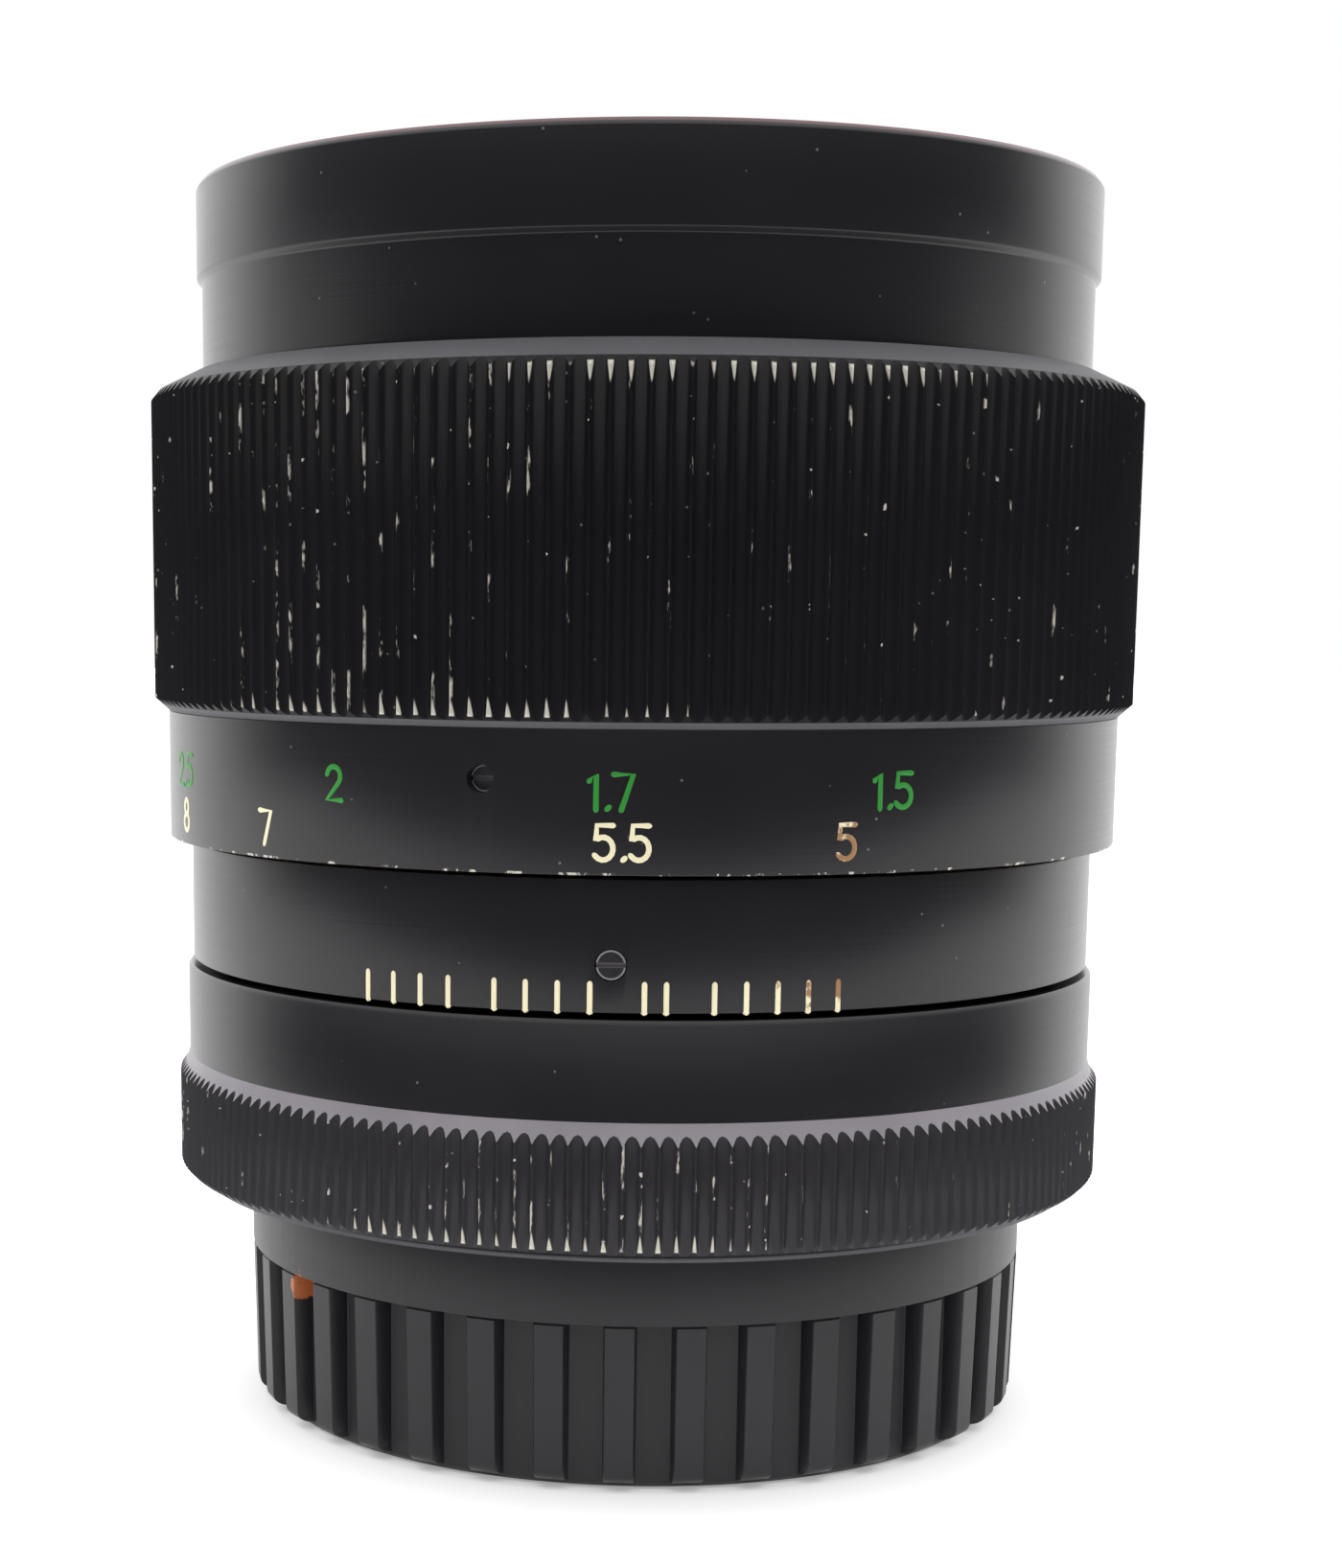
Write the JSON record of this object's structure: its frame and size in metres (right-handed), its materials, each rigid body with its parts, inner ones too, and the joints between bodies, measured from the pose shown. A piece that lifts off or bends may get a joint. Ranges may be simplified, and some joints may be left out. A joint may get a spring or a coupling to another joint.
{
  "type": "prime camera lens",
  "caption": "Manual-focus prime camera lens with a knurled focus ring, aperture ring with working iris, sliding built-in hood and ribbed rear cap.",
  "frame": {"origin": "centre of the underside of the rear cap, on the surface the lens stands on", "axes": "+Z along the optical axis towards the front glass; -Y is the side with the near end of the distance scale, the focus index is on +Y"},
  "size_m": [0.0746, 0.0746, 0.0918],
  "materials": {
    "black_anodised": "satin black anodised, worn at the edges",
    "matt_black_paint": "matt anti-reflection paint",
    "felt": "black felt",
    "brass": "turned",
    "steel": "turned and blackened",
    "mount_chrome": "satin chrome",
    "coated_glass": "polished and coated",
    "cap_plastic": "moulded, semi-matt"
  },
  "bodies": {
    "barrel": {"fixed_barrel": "black_anodised", "rear_barrel": "matt_black_paint", "aperture_ring_retainer": "steel", "mount_ring": "mount_chrome", "rear_baffle": "matt_black_paint", "mount_screw_1": "steel", "mount_screw_2": "steel", "mount_screw_3": "steel", "barrel_screw_1": "steel", "barrel_screw_2": "steel", "barrel_screw_3": "steel", "detent_ball": "steel", "detent_spring": "steel", "stop_down_spring": "steel"},
    "optics": {"front_barrel": "black_anodised", "hood_felt": "felt", "name_ring": "matt_black_paint", "front_cell": "matt_black_paint", "lens_barrel": "matt_black_paint", "lens_element_1": "coated_glass", "lens_element_2": "coated_glass", "lens_element_3": "coated_glass", "lens_element_4": "coated_glass", "front_retaining_ring": "matt_black_paint", "lens_spacer": "matt_black_paint", "middle_retaining_ring": "matt_black_paint", "rear_retaining_ring": "matt_black_paint", "rear_cell": "matt_black_paint", "iris_cover": "matt_black_paint", "focus_key": "brass", "focus_key_screw": "steel"},
    "focus_ring": {"focus_ring": "black_anodised", "moving_helicoid": "brass", "captive_ring": "brass", "focus_grub_screw_1": "steel", "focus_grub_screw_2": "steel", "focus_grub_screw_3": "steel"},
    "hood": {"hood": "black_anodised"},
    "aperture_ring": {"aperture_ring": "black_anodised", "aperture_fork": "brass"},
    "iris_cam": {"iris_cam_ring": "brass"},
    "iris_blade_1": {"iris_blade_1": "steel"},
    "iris_blade_2": {"iris_blade_2": "steel"},
    "iris_blade_3": {"iris_blade_3": "steel"},
    "iris_blade_4": {"iris_blade_4": "steel"},
    "iris_blade_5": {"iris_blade_5": "steel"},
    "iris_blade_6": {"iris_blade_6": "steel"},
    "iris_blade_7": {"iris_blade_7": "steel"},
    "iris_blade_8": {"iris_blade_8": "steel"},
    "stop_down": {"stop_down_ring": "steel"},
    "rear_cap": {"rear_cap": "cap_plastic"}
  },
  "joints": [
    {"name": "focus_turn", "type": "hinge", "parent": "optics", "child": "focus_ring", "pos_m": [0, 0, 0.06], "axis": [0, 0, -1], "range_deg": [0, 204.6]},
    {"name": "focus_advance", "type": "slide", "parent": "barrel", "child": "optics", "axis": [0, 0, 1], "range_m": [0, 0.015]},
    {"name": "hood_slide", "type": "slide", "parent": "optics", "child": "hood", "axis": [0, 0, 1], "range_m": [0, 0.0155]},
    {"name": "aperture_turn", "type": "hinge", "parent": "barrel", "child": "aperture_ring", "pos_m": [0, 0, 0.026], "axis": [0, 0, 1], "range_deg": [0, 50]},
    {"name": "iris_cam_turn", "type": "hinge", "parent": "optics", "child": "iris_cam", "pos_m": [0, 0, 0.0475], "axis": [0, 0, 1], "range_deg": [0, 50]},
    {"name": "blade_1_swing", "type": "hinge", "parent": "optics", "child": "iris_blade_1", "pos_m": [0, -0.0223, 0.05], "axis": [0, 0, 1], "range_deg": [0, 31.92]},
    {"name": "blade_2_swing", "type": "hinge", "parent": "optics", "child": "iris_blade_2", "pos_m": [0.01577, -0.01577, 0.05], "axis": [0, 0, 1], "range_deg": [0, 31.92]},
    {"name": "blade_3_swing", "type": "hinge", "parent": "optics", "child": "iris_blade_3", "pos_m": [0.0223, 0, 0.05], "axis": [0, 0, 1], "range_deg": [0, 31.92]},
    {"name": "blade_4_swing", "type": "hinge", "parent": "optics", "child": "iris_blade_4", "pos_m": [0.01577, 0.01577, 0.05], "axis": [0, 0, 1], "range_deg": [0, 31.92]},
    {"name": "blade_5_swing", "type": "hinge", "parent": "optics", "child": "iris_blade_5", "pos_m": [0, 0.0223, 0.05], "axis": [0, 0, 1], "range_deg": [0, 31.92]},
    {"name": "blade_6_swing", "type": "hinge", "parent": "optics", "child": "iris_blade_6", "pos_m": [-0.01577, 0.01577, 0.05], "axis": [0, 0, 1], "range_deg": [0, 31.92]},
    {"name": "blade_7_swing", "type": "hinge", "parent": "optics", "child": "iris_blade_7", "pos_m": [-0.0223, 0, 0.05], "axis": [0, 0, 1], "range_deg": [0, 31.92]},
    {"name": "blade_8_swing", "type": "hinge", "parent": "optics", "child": "iris_blade_8", "pos_m": [-0.01577, -0.01577, 0.05], "axis": [0, 0, 1], "range_deg": [0, 31.92]},
    {"name": "stop_down_lever", "type": "hinge", "parent": "barrel", "child": "stop_down", "pos_m": [0, 0, 0.021], "axis": [0, 0, -1], "range_deg": [0, 15], "stiffness_Nm_per_rad": 0.004, "springref_deg": -5.73},
    {"name": "cap_pull", "type": "slide", "parent": "barrel", "child": "rear_cap", "axis": [0, 0, -1], "range_m": [0, 0.02]}
  ],
  "couplings": [
    {"joint": "focus_advance", "follows": "focus_turn", "m_per_rad": 0.0042006},
    {"joint": "iris_cam_turn", "follows": "aperture_turn", "ratio": 1},
    {"joint": "blade_1_swing", "follows": "aperture_turn", "ratio": 0.63835},
    {"joint": "blade_2_swing", "follows": "aperture_turn", "ratio": 0.63835},
    {"joint": "blade_3_swing", "follows": "aperture_turn", "ratio": 0.63835},
    {"joint": "blade_4_swing", "follows": "aperture_turn", "ratio": 0.63835},
    {"joint": "blade_5_swing", "follows": "aperture_turn", "ratio": 0.63835},
    {"joint": "blade_6_swing", "follows": "aperture_turn", "ratio": 0.63835},
    {"joint": "blade_7_swing", "follows": "aperture_turn", "ratio": 0.63835},
    {"joint": "blade_8_swing", "follows": "aperture_turn", "ratio": 0.63835}
  ]
}
